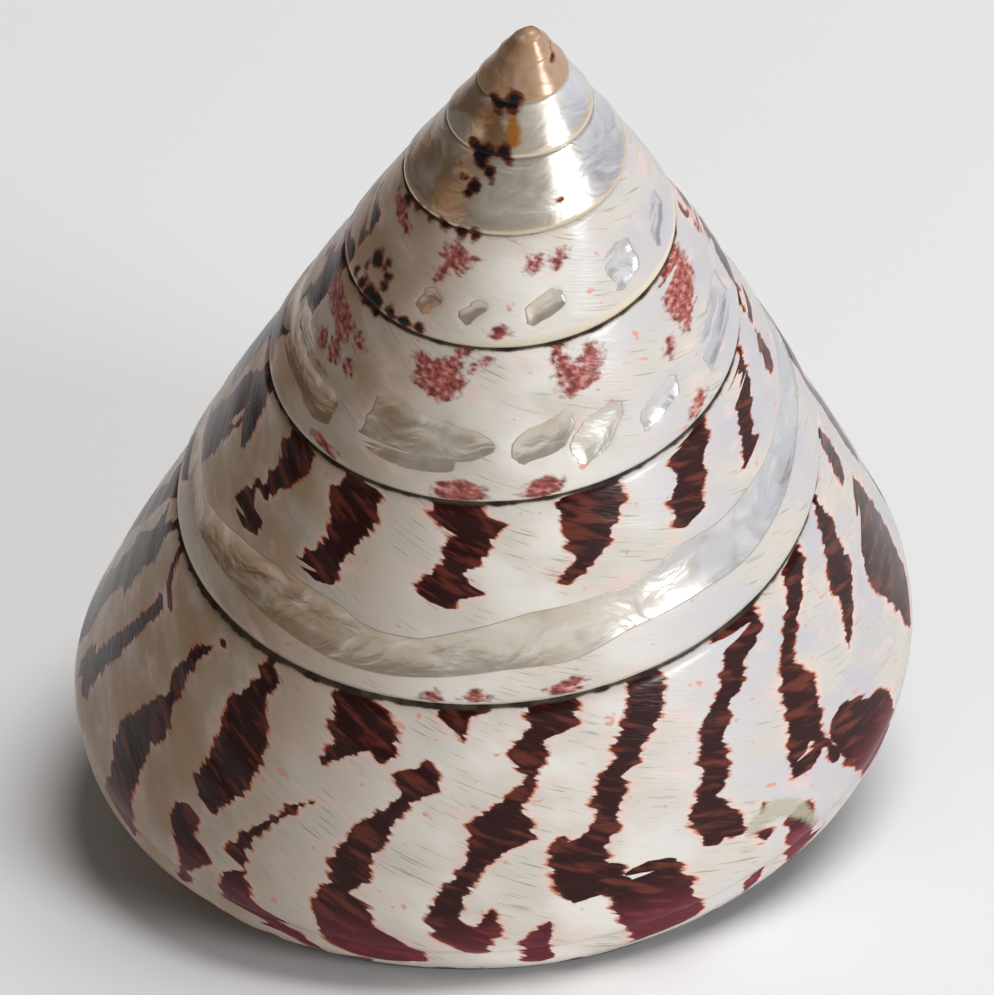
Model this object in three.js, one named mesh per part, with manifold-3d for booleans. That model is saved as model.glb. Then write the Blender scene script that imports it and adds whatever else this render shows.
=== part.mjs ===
// A top shell: one coiled piece, hollow and open at its mouth, resting on its base.
// Millimetres, +Z up. The coil is worked out about its own axis, with the tip at the
// origin and the whorls below it, and is then leaned over to the way the shell rests.

import * as THREE from 'three';
import { LoftGeometry } from 'three/addons/geometries/LoftGeometry.js';
import { mergeVertices } from 'three/addons/utils/BufferGeometryUtils.js';
import Module from 'manifold-3d';

const wasm = await Module();
wasm.setup();

const TURN = 2 * Math.PI;
const MERGE_DISTANCE = 1e-5;

// The seam spiral. Growth is counted in turns: turn 0 is where the seam above the last
// whorl crosses the front of the shell, and the coil runs clockwise seen from the tip.
const SEAM_RADIUS = 30.37;      // radius of the seam at turn 0
const WIDENING = 0.3021;        // growth of the radius per turn, as a natural logarithm
const WIDENING_SLOWS = -0.0215;
const WIDENING_CURVE = -0.00067;
const SPIRE_FALL = 1.587;       // how far the seam falls for each millimetre of radius
const SPIRE_FLARE = 0.01155;    // extra fall, per square millimetre of radius
const TIP_BLUNTING = 0.8;       // the first whorls stand out by this much at the tip
const TIP_BLUNT_DEPTH = 9;      // and less down to this depth
const FRONT = -Math.PI / 2;     // direction of turn 0, seen from the tip

// The section of a whorl: a nearly straight side, a rounded rim and a low base.
const RIM_ROUND = 0.13975;      // rim radius on the spire, as a share of the side
const LAST_RIM_ROUND = 0.25;    // the same on the last whorl
const RIM_CHANGE_FROM = -0.95;  // turn where the rim starts to get rounder
const RIM_CHANGE_OVER = 0.6;
const SEAM_UNDER_RIM = 0.153;   // how far under the rim's widest place the seam runs, radians
const SIDE_BULGE = 0.0142;      // bulge of the side, as a share of its length
const RIM_END = -1.5;           // where the rim's arc runs into the base, radians
const BASE_SLOPE = 0.07;        // fall of the base where it leaves the rim
const NAVEL_DEPTH = 0.1;        // hollow in the middle of the base, as a share of the radius
const NAVEL_WIDTH = 0.16;
const AXIS_GAP = 0.5;           // the whorls stop this far from the axis, inside the pillar
const WHORL_OVERLAP = 1.2;      // how far a whorl's roof reaches into the whorl above it

// The coil starts just under the tip and ends at the lip, which slants back towards
// the base and the pillar.
const FIRST_TURN = -6.75;
const LIP_TURN = 0.62;
const SLANT_FROM = -0.25;       // turn where the growth rows start to slant
const RIM_LAG = 0.045;          // how far the lip trails at the rim, in turns
const PILLAR_LAG = 0.25;        // and at the pillar
const LAG_CURVE = 1.3;

// The hollow inside the last whorl.
const LIP_WALL = 1.5;
const BODY_WALL = 3;
const WALL_GROWS_OVER = 0.12;   // turns behind the lip
const ROOF_WALL = 0.8;          // shell laid over the base of the whorl above
const HOLLOW_BACK = -0.2;       // turn where the hollow ends, deep inside
const HOLLOW_TAPER = 0.22;
const HOLLOW_TIP = 0.35;        // size of its closed end, against its full section
const PAST_LIP = 0.07;          // the hollow's solid runs out past the lip
const PILLAR_CLEAR = 5.4;       // the hollow stays this far from the axis
const ROOF_CORNER = 0.25;       // place of its outer top corner, down the side
const CORNER = 6;               // rounding of the hollow's corners

// The pillar in the axis, leaning towards the mouth at its foot, and the tip.
const PILLAR_TOP_RADIUS = 0.9;
const PILLAR_FOOT_RADIUS = 4.4;
const PILLAR_FOOT = -92;
const PILLAR_SWELLS = 1.5;      // power of its swelling towards the foot
const PILLAR_LEAN = new THREE.Vector2(1.2, 1.6);
const PILLAR_LEANS_LATE = 4;    // power of its leaning towards the foot
const FOOT_END_RADIUS = 2.6;
const FOOT_END_HEIGHT = 1.3;
const TIP_HEIGHT = 4;
const TIP_SLOPE = 0.48;         // radius gained for each millimetre down the tip
const TIP_NOSE = 0.72;          // radius of curvature of its very top
const ON_AXIS = new THREE.Vector2();

// How finely each solid is cut into flat faces.
const SPIRE_OUTLINE = { side: 3, rim: 4, base: 5 };
const LAST_OUTLINE = { side: 4, rim: 6, base: 7 };
const ROWS_AT_TIP = 8;          // rows in half a turn
const ROWS_AT_LAST = 22;
const LAST_ROWS = 38;           // rows in the last stretch
const HOLLOW_ROWS = 34;
const HOLLOW_SIDES = 22;
const PILLAR_ROWS = 12;
const PILLAR_SIDES = 16;
const TIP_ROWS = 6;

// How the shell rests: its axis leans, and it is worn flat where it touches the ground.
const REST_LEAN = 0.2936;       // between the axis and the vertical, radians
const LEAN_TOWARDS = -1.0847;   // direction of the low side, seen from the tip
const TIP_PLACE = new THREE.Vector3(13.58, -25.2, 92.45);
const GROUND_SIZE = 200;        // of the block that cuts the worn spots flat

function seam(turn) {
  const widening = turn * (WIDENING + turn * (WIDENING_SLOWS + turn * WIDENING_CURVE));
  const radius = SEAM_RADIUS * Math.exp(widening);
  const depth = radius * (SPIRE_FALL + SPIRE_FLARE * radius);
  const blunting = TIP_BLUNTING * Math.max(0, 1 - (depth / TIP_BLUNT_DEPTH) ** 2);
  return new THREE.Vector2(radius + blunting, -depth);
}

// The straight side and the rim circle of the whorl at one growth turn.
function whorl(turn) {
  const top = seam(turn);
  const low = seam(turn + 1);
  const side = top.distanceTo(low);
  const change = THREE.MathUtils.smoothstep(turn, RIM_CHANGE_FROM, RIM_CHANGE_FROM + RIM_CHANGE_OVER);
  const round = side * THREE.MathUtils.lerp(RIM_ROUND, LAST_RIM_ROUND, change);
  const rim = new THREE.Vector2(-Math.cos(SEAM_UNDER_RIM), Math.sin(SEAM_UNDER_RIM));
  rim.multiplyScalar(round).add(low);
  const toRim = rim.clone().sub(top);
  const heading = toRim.angle() + Math.asin(round / toRim.length());
  const along = new THREE.Vector2(Math.cos(heading), Math.sin(heading));
  const out = new THREE.Vector2(-along.y, along.x);
  const straight = Math.sqrt(toRim.lengthSq() - round * round);
  const bottom = new THREE.Vector2(Math.cos(RIM_END), Math.sin(RIM_END)).multiplyScalar(round).add(rim);
  return { top, side, round, rim, along, out, straight, bottom, outAngle: out.angle() };
}

function sidePoint(turn, share, inset = 0) {
  const { top, side, along, out, straight } = whorl(turn);
  const bulge = SIDE_BULGE * side * Math.sin(Math.PI * share);
  return top.clone().addScaledVector(along, straight * share).addScaledVector(out, bulge - inset);
}

function rimPoint(turn, share, inset = 0) {
  const { round, rim, outAngle } = whorl(turn);
  const angle = THREE.MathUtils.lerp(outAngle, RIM_END, share);
  return new THREE.Vector2(Math.cos(angle), Math.sin(angle)).multiplyScalar(round - inset).add(rim);
}

// Height of the base at a distance from the axis.
function baseHeight(turn, radius) {
  const { bottom } = whorl(turn);
  const inward = 1 - Math.min(radius / bottom.x, 1);
  const navel = Math.exp(-((radius / (NAVEL_WIDTH * bottom.x)) ** 2));
  return bottom.y + bottom.x * (NAVEL_DEPTH * navel - BASE_SLOPE * inward * (1 - inward));
}

function basePoint(turn, share, inset = 0) {
  const radius = THREE.MathUtils.lerp(whorl(turn).bottom.x, AXIS_GAP, share);
  return new THREE.Vector2(radius, baseHeight(turn, radius) + inset);
}

// How far the lip trails at a place along the base, from the rim in to the pillar.
function lag(inward) {
  return THREE.MathUtils.lerp(RIM_LAG, PILLAR_LAG, inward ** LAG_CURVE);
}

// The outline of a whorl's solid: where each of its points is at a turn, how far it
// trails, and how far in along the base it lies.
function whorlOutline({ side, rim, base }) {
  const outline = [];
  for (let i = 0; i < side; i += 1) {
    const share = i / side;
    outline.push({ inward: 0, trail: RIM_LAG * share, at: (turn) => sidePoint(turn, share) });
  }
  for (let i = 0; i < rim; i += 1) {
    outline.push({ inward: 0, trail: RIM_LAG, at: (turn) => rimPoint(turn, i / rim) });
  }
  for (let i = 0; i <= base; i += 1) {
    const inward = Math.sin((Math.PI / 2) * (i / base));
    outline.push({ inward, trail: lag(inward), at: (turn) => basePoint(turn, inward) });
  }
  for (let i = base; i > 0; i -= 1) {
    const inward = Math.sin((Math.PI / 2) * (i / base));
    outline.push({ inward, trail: lag(inward), at: (turn) => roofPoint(turn, inward) });
  }
  outline.push({ inward: 0, trail: 0, at: (turn) => whorl(turn - 1).rim });
  return outline;
}

function roofPoint(turn, inward) {
  return basePoint(turn - 1, inward, WHORL_OVERLAP);
}

function onCoil(point, turn) {
  const direction = FRONT - TURN * turn;
  return new THREE.Vector3(point.x * Math.cos(direction), point.x * Math.sin(direction), point.y);
}

// A closed solid lofted through rows of points, with its shared corners merged.
function loftSolid(rows, capEnd = true) {
  const loft = new LoftGeometry(rows.map((row) => row.toReversed()), { capStart: true, capEnd });
  const bare = new THREE.BufferGeometry();
  bare.setAttribute('position', loft.getAttribute('position'));
  bare.setIndex(loft.getIndex());
  const merged = mergeVertices(bare, MERGE_DISTANCE);
  const corners = merged.getIndex().array;
  const faces = [];
  for (let i = 0; i < corners.length; i += 3) {
    const [a, b, c] = corners.slice(i, i + 3);
    if (a !== b && b !== c && c !== a) faces.push(a, b, c);
  }
  const vertProperties = new Float32Array(merged.getAttribute('position').array);
  const triVerts = new Uint32Array(faces);
  return new wasm.Manifold(new wasm.Mesh({ numProp: 3, vertProperties, triVerts }));
}

// One stretch of the coil, shorter than a turn so that it never meets itself.
function whorlSolid(from, to, steps, outline) {
  const rows = [];
  for (let i = 0; i <= steps; i += 1) {
    const turn = THREE.MathUtils.lerp(from, to, i / steps);
    const slant = slantAt(turn);
    rows.push(outline.map((maker) => {
      const own = turn - maker.trail * slant;
      return onCoil(maker.at(own), own);
    }));
  }
  const slanted = slantAt(to) > 0;
  if (slanted) rows.push(outline.map((maker) => lipMiddle(to, maker.inward)));
  return loftSolid(rows, !slanted);
}

function slantAt(turn) {
  return THREE.MathUtils.clamp((turn - SLANT_FROM) / (LIP_TURN - SLANT_FROM), 0, 1);
}

// The middle line of the slanted end, halfway between the base and the roof.
function lipMiddle(turn, inward) {
  const own = turn - lag(inward);
  return onCoil(basePoint(own, inward).lerp(roofPoint(own, inward), 0.5), own);
}

// The hollow's outline at one turn, a rounded four-sided opening.
function hollowOutline(turn, wall) {
  const ceiling = whorl(turn - 1).bottom;
  const corners = [
    new THREE.Vector2(PILLAR_CLEAR, baseHeight(turn - 1, PILLAR_CLEAR) - ROOF_WALL),
    new THREE.Vector2(ceiling.x * 0.5, baseHeight(turn - 1, ceiling.x * 0.5) - ROOF_WALL),
    new THREE.Vector2(sidePoint(turn, ROOF_CORNER, wall).x, ceiling.y - ROOF_WALL),
    rimPoint(turn, 0, wall),
    rimPoint(turn, 0.5, wall),
    rimPoint(turn, 1, wall),
    basePoint(turn, 0.5, wall),
    new THREE.Vector2(PILLAR_CLEAR, baseHeight(turn, PILLAR_CLEAR) + wall),
  ];
  const path = new THREE.Path();
  corners.forEach((corner, i) => {
    const before = corners.at(i - 1).clone().sub(corner);
    const after = corners[(i + 1) % corners.length].clone().sub(corner);
    const enter = corner.clone().addScaledVector(before, Math.min(0.5, CORNER / before.length()));
    const leave = corner.clone().addScaledVector(after, Math.min(0.5, CORNER / after.length()));
    if (i === 0) path.moveTo(enter.x, enter.y);
    else path.lineTo(enter.x, enter.y);
    path.quadraticCurveTo(corner.x, corner.y, leave.x, leave.y);
  });
  path.closePath();
  return path.getSpacedPoints(HOLLOW_SIDES).slice(0, HOLLOW_SIDES);
}

function hollowSolid() {
  const rows = [];
  for (let i = 0; i <= HOLLOW_ROWS; i += 1) {
    const turn = THREE.MathUtils.lerp(HOLLOW_BACK, LIP_TURN + PAST_LIP, i / HOLLOW_ROWS);
    const grown = THREE.MathUtils.clamp((LIP_TURN - turn) / WALL_GROWS_OVER, 0, 1);
    const outline = hollowOutline(turn, THREE.MathUtils.lerp(LIP_WALL, BODY_WALL, grown));
    const taper = THREE.MathUtils.clamp((turn - HOLLOW_BACK) / HOLLOW_TAPER, 0, 1);
    const size = THREE.MathUtils.lerp(HOLLOW_TIP, 1, Math.sin((Math.PI / 2) * taper));
    const middle = outline.reduce((sum, point) => sum.add(point), new THREE.Vector2());
    middle.divideScalar(outline.length);
    rows.push(outline.map((point) => onCoil(point.sub(middle).multiplyScalar(size).add(middle), turn)));
  }
  return loftSolid(rows);
}

function pillarSolid() {
  const rows = [];
  for (let i = 0; i <= PILLAR_ROWS; i += 1) {
    const share = i / PILLAR_ROWS;
    const height = THREE.MathUtils.lerp(-TIP_HEIGHT / 2, PILLAR_FOOT, share);
    const radius = THREE.MathUtils.lerp(PILLAR_TOP_RADIUS, PILLAR_FOOT_RADIUS, share ** PILLAR_SWELLS);
    rows.push(circle(PILLAR_LEAN.clone().multiplyScalar(share ** PILLAR_LEANS_LATE), radius, height));
  }
  rows.push(circle(PILLAR_LEAN, FOOT_END_RADIUS, PILLAR_FOOT - FOOT_END_HEIGHT));
  return loftSolid(rows);
}

function circle(centre, radius, height) {
  return Array.from({ length: PILLAR_SIDES }, (_, i) => {
    const angle = (TURN * i) / PILLAR_SIDES;
    const x = centre.x + radius * Math.cos(angle);
    return new THREE.Vector3(x, centre.y + radius * Math.sin(angle), height);
  });
}

function tipSolid() {
  const rows = [];
  for (let i = 1; i <= TIP_ROWS; i += 1) {
    const depth = TIP_HEIGHT * (i / TIP_ROWS) ** 2;
    const radius = Math.sqrt((TIP_SLOPE * depth) ** 2 + 2 * TIP_NOSE * depth);
    rows.push(circle(ON_AXIS, radius, -depth));
  }
  rows.push(circle(ON_AXIS, PILLAR_TOP_RADIUS, -TIP_HEIGHT * 1.5));
  return loftSolid(rows);
}

// The spire in half turns, coarser towards the tip.
function spireSolid() {
  const outline = whorlOutline(SPIRE_OUTLINE);
  let spire = tipSolid().add(pillarSolid());
  for (let turn = FIRST_TURN; turn < SLANT_FROM; turn += 0.5) {
    const grown = THREE.MathUtils.inverseLerp(FIRST_TURN, SLANT_FROM, turn);
    const steps = Math.round(THREE.MathUtils.lerp(ROWS_AT_TIP, ROWS_AT_LAST, grown));
    spire = spire.add(whorlSolid(turn, turn + 0.5, steps, outline));
  }
  return spire;
}

// Where the shell stands: turned so that this direction of its own frame points up.
function restPlace() {
  const flat = Math.sin(REST_LEAN);
  const rise = Math.cos(REST_LEAN);
  const up = new THREE.Vector3(-flat * Math.cos(LEAN_TOWARDS), -flat * Math.sin(LEAN_TOWARDS), rise);
  const turned = new THREE.Quaternion().setFromUnitVectors(up, new THREE.Vector3(0, 0, 1));
  return new THREE.Matrix4().compose(TIP_PLACE, turned, new THREE.Vector3(1, 1, 1));
}

// Everything under the ground, in the coil's own frame.
function groundSolid() {
  const half = GROUND_SIZE / 2;
  const square = [[-half, -half], [half, -half], [half, half], [-half, half]];
  const toCoil = restPlace().invert();
  const rows = [0, -half].map((height) => (
    square.map(([x, y]) => new THREE.Vector3(x, y, height).applyMatrix4(toCoil))));
  return loftSolid(rows);
}

function shellSolid() {
  const lastWhorl = whorlSolid(SLANT_FROM, LIP_TURN, LAST_ROWS, whorlOutline(LAST_OUTLINE));
  const coil = spireSolid().add(lastWhorl).subtract(hollowSolid());
  return largestPiece(coil.subtract(groundSolid()));
}

// The largest piece of a joined solid, without the slivers that the joins leave.
function largestPiece(solid) {
  return solid.decompose().reduce((most, piece) => (piece.volume() > most.volume() ? piece : most));
}

function geometryOf(solid) {
  const { vertProperties, triVerts } = solid.getMesh();
  const geometry = new THREE.BufferGeometry();
  geometry.setAttribute('position', new THREE.BufferAttribute(vertProperties, 3));
  geometry.setIndex(new THREE.BufferAttribute(triVerts, 1));
  geometry.computeVertexNormals();
  return geometry;
}

const glazedShell = new THREE.MeshStandardMaterial({ color: 0xd9cdc2, roughness: 0.3, metalness: 0 });
const shell = new THREE.Mesh(geometryOf(shellSolid()), glazedShell);
shell.name = 'top_shell';
shell.applyMatrix4(restPlace());

const topShell = new THREE.Group();
topShell.add(shell);

export default topShell;
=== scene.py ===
# A polished top shell: one coiled sheet with its mouth cut open, flamed in maroon and
# ground through to the pearl, lit like a small thing on a studio table.
import math

import bmesh
import bpy
import numpy as np
from mathutils import Matrix, Vector, interpolate, noise
from mathutils.bvhtree import BVHTree


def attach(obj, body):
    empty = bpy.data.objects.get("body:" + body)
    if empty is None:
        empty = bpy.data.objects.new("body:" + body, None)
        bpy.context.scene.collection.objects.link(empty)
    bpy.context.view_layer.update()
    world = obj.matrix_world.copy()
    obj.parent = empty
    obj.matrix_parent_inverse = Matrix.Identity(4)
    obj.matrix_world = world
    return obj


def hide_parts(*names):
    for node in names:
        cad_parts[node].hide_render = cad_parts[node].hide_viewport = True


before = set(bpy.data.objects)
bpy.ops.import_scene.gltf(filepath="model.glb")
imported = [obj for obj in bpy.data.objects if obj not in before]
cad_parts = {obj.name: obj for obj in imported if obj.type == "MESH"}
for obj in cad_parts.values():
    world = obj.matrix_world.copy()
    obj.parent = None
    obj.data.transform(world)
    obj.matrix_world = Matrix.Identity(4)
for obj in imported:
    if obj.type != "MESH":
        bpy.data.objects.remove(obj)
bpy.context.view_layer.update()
print("frame loaded")

mm = 0.001

# the coil about its own axis, in mm with the tip at the origin. Growth is counted in turns,
# turn 0 is the seam above the last whorl at the front
coil = {
    "seamRadius": 30.37, "widening": 0.3021, "wideningSlows": -0.0215, "wideningCurve": -0.00067,
    "fall": 1.587, "flare": 0.01155, "blunting": 0.2, "bluntDepth": 9, "tipRound": 1.4,
    "tightensAbove": -4, "tightens": 0.04,
    "rimRound": 0.13975, "lastRimRound": 0.25, "rimChangeFrom": -0.95, "rimChangeOver": 0.6,
    "seamUnderRim": 0.153, "sideBulge": 0.0142, "spireBulge": -0.01, "spireBulgeTo": (-4.3, -2.6),
    "rimEnd": -1.5, "baseSlope": 0.07, "navelDepth": 0.1, "navelWidth": 0.16,
    "tipTurn": -7.5, "lipTurn": 0.62, "rimLagRows": 9, "pillarLag": 0.25, "lagCurve": 1.3,
    "growthSlant": 2.4,
    "restLean": 0.2936, "leanTowards": -1.0847, "tipPlace": (13.58, -25.2, 92.45),
}

# the photograph's view, fitted in the coil's frame
view = {
    "elevation": 44.59, "aimAt": (-2.26, 0, -61.6), "distance": 1142.4, "lens": 434.2,
    "sensor": 36, "roll": -0.01657, "width": 994, "height": 995, "clip": (0.1, 20),
}

sheet = {
    "rowsPerTurn": 200, "sideColumns": 27, "rimColumns": 8, "sideCrowding": 1.5,
    "underRimColumns": 12, "baseColumns": 34, "tipRings": 9,
    "grooveDepth": 0.02, "grooveWidth": 0.026, "grooveFades": (-6.6, -4.5),
    "lipRounding": 0.5, "lipRoundRows": 4,
    "growthRelief": 0.1, "ridgeWidth": 2.3, "ridgeStretch": 0.14, "ridgeSeed": 7.3,
    "swellRelief": 0.2, "swellWidth": 12, "swellStretch": 0.5, "swellSeed": 5.5, "seamCalm": 2.5,
    "reliefGrows": (-6, -1), "grooveLean": 0.21, "lipBlunt": 0.96, "baseEdge": (0, 0.12),
    "baseCalm": (0.6, 0.9), "lengthSteps": 2000, "tipEvens": 0.35, "tipFlattens": 0.7,
    "tipAbove": -10, "mouthMiddle": (0.4, 0.45), "mergeWithin": 0.002, "thinnest": 1e-4,
    "sharpFrom": 50,
}


def smoothStep(x, low, high):
    t = np.clip((x - low) / (high - low), 0, 1)
    return t * t * (3 - 2 * t)


def lerp(a, b, t):
    return a + (b - a) * t


def coneDepth(radius):  # the line through the seams, rounded off at the tip
    cone = ((coil["fall"] * radius) ** 3 + coil["tipRound"] ** 3) ** (1 / 3)
    return cone + coil["flare"] * radius ** 2


def seam(turn):
    c = coil
    widening = turn * (c["widening"] + turn * (c["wideningSlows"] + turn * c["wideningCurve"]))
    tight = 1 - c["tightens"] * np.clip(c["tightensAbove"] - turn, 0, None) ** 2
    radius = c["seamRadius"] * np.exp(widening) * tight
    depth = coneDepth(radius)
    blunting = c["blunting"] * np.clip(1 - (depth / c["bluntDepth"]) ** 2, 0, None)
    return np.stack([radius + blunting, -depth], -1)


def direction(angle):
    return np.stack([np.cos(angle), np.sin(angle)], -1)


def whorl(turn):  # the straight side and the rim circle of the whorl at one growth turn
    c = coil
    top, low = seam(turn), seam(turn + 1)
    side = np.linalg.norm(low - top, axis=-1)
    change = smoothStep(turn, c["rimChangeFrom"], c["rimChangeFrom"] + c["rimChangeOver"])
    rounding = side * lerp(c["rimRound"], c["lastRimRound"], change)
    rim = low + rounding[..., None] * direction(math.pi - c["seamUnderRim"])
    toRim = rim - top
    reach = np.linalg.norm(toRim, axis=-1)
    heading = np.arctan2(toRim[..., 1], toRim[..., 0]) + np.arcsin(rounding / reach)
    straight = np.sqrt(reach ** 2 - rounding ** 2)
    bulge = lerp(c["spireBulge"], c["sideBulge"], smoothStep(turn, *c["spireBulgeTo"]))
    bottom = rim + rounding[..., None] * direction(np.full_like(rounding, c["rimEnd"]))
    return {"top": top, "side": side, "round": rounding, "rim": rim, "heading": heading,
            "outAngle": heading + math.pi / 2, "straight": straight, "bulge": bulge,
            "bottom": bottom}


def sidePoint(turn, share):
    w = whorl(turn)
    along, out = direction(w["heading"]), direction(w["outAngle"])
    bulge = (w["bulge"] * w["side"] * np.sin(math.pi * share))[..., None]
    return w["top"] + along * (w["straight"] * share)[..., None] + out * bulge, out


def rimPoint(turn, share, low):  # low is the angle where the arc ends
    w = whorl(turn)
    out = direction(lerp(w["outAngle"], low, share))
    return w["rim"] + out * w["round"][..., None], out


def baseHeight(turn, radius):
    bottom = whorl(turn)["bottom"]
    inward = 1 - np.minimum(radius / bottom[..., 0], 1)
    navel = np.exp(-((radius / (coil["navelWidth"] * bottom[..., 0])) ** 2))
    hollow = coil["navelDepth"] * navel - coil["baseSlope"] * inward * (1 - inward)
    return bottom[..., 1] + bottom[..., 0] * hollow


def basePoint(turn, inward):
    radius = whorl(turn)["bottom"][..., 0] * (1 - inward)
    return np.stack([radius, baseHeight(turn, radius)], -1)


def rimLag():
    return coil["rimLagRows"] / sheet["rowsPerTurn"]


def lag(inward):
    return lerp(rimLag(), coil["pillarLag"], inward ** coil["lagCurve"])


def onCoil(point, turn):
    angle = -math.pi / 2 - 2 * math.pi * turn
    return np.stack([point[..., 0] * np.cos(angle), point[..., 0] * np.sin(angle), point[..., 1]], -1)


def restPlace():  # turns the coil's frame to the way the shell rests, still in mm
    flat = math.sin(coil["restLean"])
    lean = coil["leanTowards"]
    up = Vector((-flat * math.cos(lean), -flat * math.sin(lean), math.cos(coil["restLean"])))
    turned = up.rotation_difference(Vector((0, 0, 1))).to_matrix().to_4x4()
    return Matrix.Translation(coil["tipPlace"]) @ turned


rest = restPlace()


# camera

def cameraAxes():
    e, r = math.radians(view["elevation"]), view["roll"]
    forward = Vector((0, math.cos(e), -math.sin(e)))
    right, up = Vector((1, 0, 0)), Vector((0, math.sin(e), math.cos(e)))
    rightTurned = right * math.cos(r) - up * math.sin(r)
    upTurned = right * math.sin(r) + up * math.cos(r)
    turn = rest.to_3x3()
    return turn @ rightTurned, turn @ upTurned, turn @ forward


def makeCamera():
    right, up, forward = cameraAxes()
    aim = rest @ Vector(view["aimAt"])
    data = bpy.data.cameras.new("photoCamera")
    data.lens, data.sensor_width = view["lens"], view["sensor"]
    data.clip_start, data.clip_end = view["clip"]
    camera = bpy.data.objects.new("photoCamera", data)
    bpy.context.collection.objects.link(camera)
    place = (aim - forward * view["distance"]) * mm
    turned = Matrix((right, up, -forward)).transposed().to_4x4()
    camera.matrix_world = Matrix.Translation(place) @ turned
    bpy.context.scene.camera = camera
    return camera


camera = makeCamera()
print("camera set")


# the coiled sheet. Every corner also keeps where it lies on the growing shell

def placeGrid(bm, points, facts):
    rows, columns = points.shape[:2]
    made = bmesh.ops.create_grid(bm, x_segments=columns - 1, y_segments=rows - 1, size=1)["verts"]
    corners = sorted(made, key=lambda v: (round(v.co.y, 6), round(v.co.x, 6)))
    for corner, place in zip(corners, points.reshape(-1, 3)):
        corner.co = place
    number = {corner: i for i, corner in enumerate(corners)}
    for name, values in facts.items():
        layer, values = bm.loops.layers.float_vector[name], values.reshape(-1, 3)
        for loop in {loop for corner in corners for loop in corner.link_loops}:
            loop[layer] = values[number[loop.vert]]


def wholeSide(own):  # mm from the upper seam to the lower one, down the side and round the rim
    w = whorl(own)
    return w["straight"] + w["round"] * (w["outAngle"] + coil["seamUnderRim"])


def grownLength(own):  # mm along the coil
    turns = np.linspace(coil["tipTurn"] - 1, coil["lipTurn"] + 1, sheet["lengthSteps"])
    girths = 2 * math.pi * seam(turns + 0.5)[..., 0]
    return np.interp(own, turns, np.cumsum(girths) * (turns[1] - turns[0]))


def shellFacts(place, own, fromTop, fromLow, base):
    slant = coil["growthSlant"]
    along = grownLength(own)
    across = (along + slant * fromTop) / math.hypot(1, slant)
    down = (fromTop - slant * along) / math.hypot(1, slant)
    girth = 2 * math.pi * place[..., 0] + 1  # 1 more than it is, as the inside has 0
    zero = np.zeros_like(own)
    return {
        "growth": np.stack([own, fromTop / wholeSide(own), girth], -1),
        "edges": np.stack([fromTop, fromLow, base], -1),
        "lines": np.stack([across, down, zero], -1),
    }


def noiseAt(u, v, scale, seed):
    spots = np.stack([u / scale, v / scale], -1).reshape(-1, 2)
    values = [noise.noise(Vector((x, y, seed))) for x, y in spots]
    return np.array(values).reshape(u.shape)


def growthRelief(lines, fromSeam):
    across, down = lines[..., 0], lines[..., 1]
    s = sheet
    ridges = noiseAt(across, down * s["ridgeStretch"], s["ridgeWidth"], s["ridgeSeed"])
    swells = noiseAt(across, down * s["swellStretch"], s["swellWidth"], s["swellSeed"])
    calm = smoothStep(fromSeam, 0, s["seamCalm"])
    return calm * (s["growthRelief"] * ridges + s["swellRelief"] * swells)


def rowsFrom(first):  # the growth turn of each row up to the lip
    count = round((coil["lipTurn"] - first) * sheet["rowsPerTurn"])
    return first + np.arange(count + 1)[:, None] / sheet["rowsPerTurn"]


def spireRows():
    row = rowsFrom(coil["tipTurn"])
    sides, rims = sheet["sideColumns"], sheet["rimColumns"]
    share = (np.arange(sides) / sides) ** sheet["sideCrowding"]
    own = row - rimLag() * share
    w = whorl(own)
    sidePlace, sideOut = sidePoint(own, share)
    toTop = w["straight"] * share
    arc = np.sin(math.pi / 2 * np.arange(rims + 1) / rims)
    rimOwn = np.broadcast_to(row - rimLag(), (len(row), rims + 1))
    rimPlace, rimOut = rimPoint(rimOwn, arc, -coil["seamUnderRim"])
    r = whorl(rimOwn)
    angle = lerp(r["outAngle"], -coil["seamUnderRim"], arc)
    toLow = r["round"] * (angle + coil["seamUnderRim"])
    corner = w["round"] * (w["outAngle"] + coil["seamUnderRim"])
    rimTop = r["straight"] + r["round"] * (r["outAngle"] - angle)
    sideLow = w["straight"] * (1 - share) + corner
    place, out, own, fromTop, fromLow = (np.concatenate(parts, 1) for parts in (
        (sidePlace, rimPlace), (sideOut, rimOut), (own, rimOwn), (toTop, rimTop), (sideLow, toLow)))
    return place, out, own, np.broadcast_to(row, own.shape), fromTop, fromLow


def grooveAt(turn, fromSeam):  # how far the seam under a whorl draws the skin in
    side = whorl(turn)["side"]
    depth = sheet["grooveDepth"] * side * np.exp(-((fromSeam / (sheet["grooveWidth"] * side)) ** 2))
    inward = -direction(np.array(sheet["grooveLean"]))
    return inward * (smoothStep(turn + 1, *sheet["grooveFades"]) * depth)[..., None]


def lipTaper(row):  # the last rows draw in to a rounded lip
    reach = sheet["lipRoundRows"] / sheet["rowsPerTurn"]
    t = np.clip(1 - (coil["lipTurn"] - row) / reach, 0, 1)
    return sheet["lipRounding"] * (1 - np.sqrt(1 - t * t * sheet["lipBlunt"]))


def addSpire(bm):
    place, out, own, row, fromTop, fromLow = spireRows()
    nearest = np.minimum(fromTop, fromLow)
    grown = smoothStep(own, *sheet["reliefGrows"])
    facts = shellFacts(place, own, fromTop, fromLow, np.zeros_like(own))
    relief = growthRelief(facts["lines"], nearest) * grown - lipTaper(row) * smoothStep(nearest, 0, 1)
    place = place + out * relief[..., None] + grooveAt(own - 1, fromTop) + grooveAt(own, fromLow)
    placeGrid(bm, onCoil(place, own), facts)


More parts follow.
